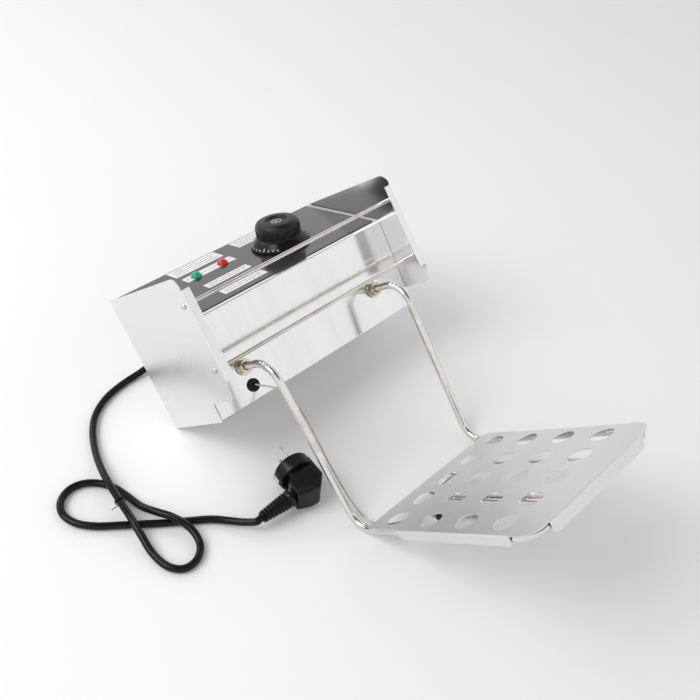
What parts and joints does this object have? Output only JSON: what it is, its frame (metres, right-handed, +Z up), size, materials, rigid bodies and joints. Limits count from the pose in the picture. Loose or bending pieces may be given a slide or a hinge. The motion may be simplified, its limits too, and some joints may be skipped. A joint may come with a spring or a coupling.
{
  "type": "deep fryer control head",
  "caption": "Lift-out electric fryer head: stainless control box with knob and lamps, rods across its front, M-shaped heater under a perforated guard plate, and a mains cord.",
  "frame": {"origin": "middle of the underside of the object's box as it lies in storage, cord left out", "axes": "+Z up from the surface it lies on; +X to the user's right along the housing; +Y from the guard plate towards the housing"},
  "size_m": [0.42, 0.4808, 0.1968],
  "materials": {
    "stainless": "fine satin stainless sheet, high key",
    "polished": "polished stainless sheet",
    "nickel": "drawn nickel-plated steel rod and tube",
    "brass": "yellow passivated nuts and washers",
    "copper": "drawn copper",
    "overlay": "charcoal printed film, satin",
    "bakelite": "black moulded phenolic",
    "cord_pvc": "black PVC",
    "black_rubber": "black rubber",
    "ceramic": "white ceramic or thermoset",
    "green_lens": "green translucent lens",
    "red_lens": "red translucent lens",
    "insulation": "heat-proof wire insulation"
  },
  "bodies": {
    "head": {"front_and_panel": "stainless", "rear_cover": "stainless", "floor_plate": "stainless", "end_cap_left": "polished", "end_cap_right": "polished", "upper_rod": "nickel", "lower_rod": "nickel", "upper_rod_screw_left": "nickel", "upper_rod_screw_right": "nickel", "lower_rod_screw_left": "nickel", "lower_rod_screw_right": "nickel", "cover_screw_1": "nickel", "cover_screw_2": "nickel", "cover_screw_3": "nickel", "cover_screw_4": "nickel", "panel_overlay": "overlay", "green_lamp": "green_lens", "green_lamp_nut": "nickel", "red_lamp": "red_lens", "red_lamp_nut": "nickel", "thermostat_case": "ceramic", "thermostat_bracket": "stainless", "thermal_cutout": "black_rubber", "heater_tube": "nickel", "heater_washer_left": "brass", "heater_washer_right": "brass", "heater_nut_left": "brass", "heater_nut_right": "brass", "heater_inner_nut_left": "brass", "heater_inner_nut_right": "brass", "heater_terminal_left": "ceramic", "heater_terminal_right": "ceramic", "guard_plate": "stainless", "grommet": "black_rubber", "capillary": "copper", "bulb": "copper", "bulb_clip": "bakelite", "terminal_block": "ceramic", "lead_heater_left": "insulation", "lead_heater_right": "insulation", "lead_thermostat": "insulation", "cord_bushing": "black_rubber", "cord": "cord_pvc", "cord_tie": "cord_pvc", "plug_boot": "cord_pvc", "plug_body": "cord_pvc", "plug_pin_upper": "nickel", "plug_pin_lower": "nickel", "earth_clip_outer": "nickel", "earth_clip_inner": "nickel"},
    "dial": {"knob": "bakelite", "thermostat_shaft": "nickel"},
    "reset": {"reset_button": "red_lens"}
  },
  "joints": [
    {"name": "thermostat_turn", "type": "hinge", "parent": "head", "child": "dial", "pos_m": [0.0425, 0.18463, 0.1246], "axis": [0, 0.3266, 0.9452], "range_deg": [-270, 0]},
    {"name": "reset_press", "type": "slide", "parent": "head", "child": "reset", "axis": [0, 0.7305, -0.683], "range_m": [-0.002, 0], "stiffness_N_per_m": 400}
  ]
}
